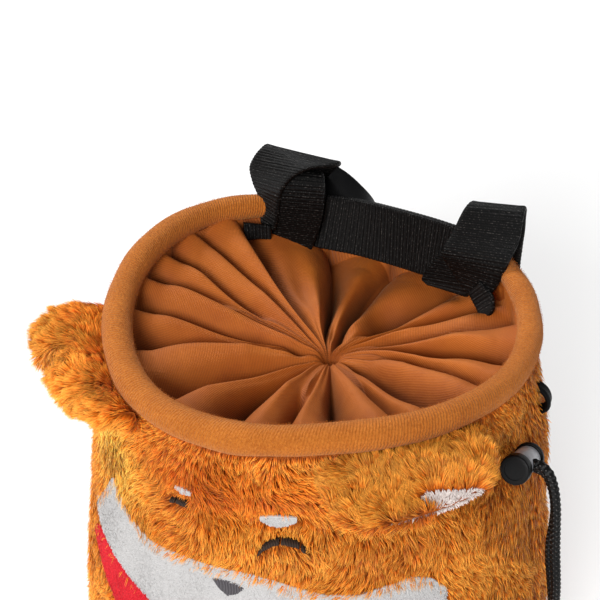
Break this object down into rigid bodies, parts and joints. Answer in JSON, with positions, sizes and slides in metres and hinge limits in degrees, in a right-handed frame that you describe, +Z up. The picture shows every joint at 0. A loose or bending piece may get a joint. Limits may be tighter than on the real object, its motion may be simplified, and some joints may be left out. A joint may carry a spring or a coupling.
{
  "type": "climbing chalk bag",
  "caption": "Round plush chalk bag with a dog's face, padded rim, gathered cloth closure, black webbing loops and a draw cord with a spring lock.",
  "frame": {"origin": "middle of the round base, on the surface that the bag stands on", "axes": "+Z up, the face looks along -Y, the webbing loops are at the back (+Y), +X is on the right of someone who looks at the face"},
  "size_m": [0.1629, 0.151, 0.1704],
  "materials": {
    "plush": "short pile polyester plush, soft and matt",
    "base_fleece": "brushed fleece",
    "rim_fleece": "brushed fleece over a padded roll",
    "cotton_twill": "fine twill weave, slightly glossy",
    "short_plush_pale": "short pile plush",
    "short_plush_white": "short pile plush",
    "short_plush_red": "short pile plush",
    "embroidery_grey": "satin stitch",
    "embroidery_dark": "satin stitch",
    "grosgrain_webbing": "ribbed polyester webbing",
    "smooth_elastic": "satin woven elastic",
    "grey_plastic": "glossy moulded",
    "black_plastic": "semi-gloss moulded",
    "braided_cord": "round braided polyester cord"
  },
  "bodies": {
    "bag": {"front_panel": "plush", "back_panel": "plush", "base_panel": "base_fleece", "rim_roll": "rim_fleece", "closure_skirt": "cotton_twill", "ear_left": "plush", "ear_right": "plush", "inner_ear_left": "short_plush_pale", "inner_ear_right": "short_plush_pale", "face_mask": "short_plush_white", "scarf": "short_plush_red", "nose": "embroidery_grey", "brow_left": "short_plush_white", "brow_right": "short_plush_white", "eye_left": "embroidery_dark", "eye_right": "embroidery_dark", "webbing_band": "grosgrain_webbing", "webbing_loop_right": "grosgrain_webbing", "webbing_loop_left": "grosgrain_webbing", "webbing_tail_right": "grosgrain_webbing", "webbing_tail_left": "grosgrain_webbing", "brush_sleeve": "smooth_elastic", "side_loop": "smooth_elastic", "lock_barrel": "grey_plastic", "lock_cap": "black_plastic", "draw_cord_front": "braided_cord", "draw_cord_back": "braided_cord", "cord_knot": "braided_cord"},
    "button": {"lock_button": "black_plastic"}
  },
  "joints": [
    {"name": "button_press", "type": "slide", "parent": "bag", "child": "button", "axis": [0, 0.9336, -0.3584], "range_m": [0, 0.0016], "stiffness_N_per_m": 600}
  ]
}
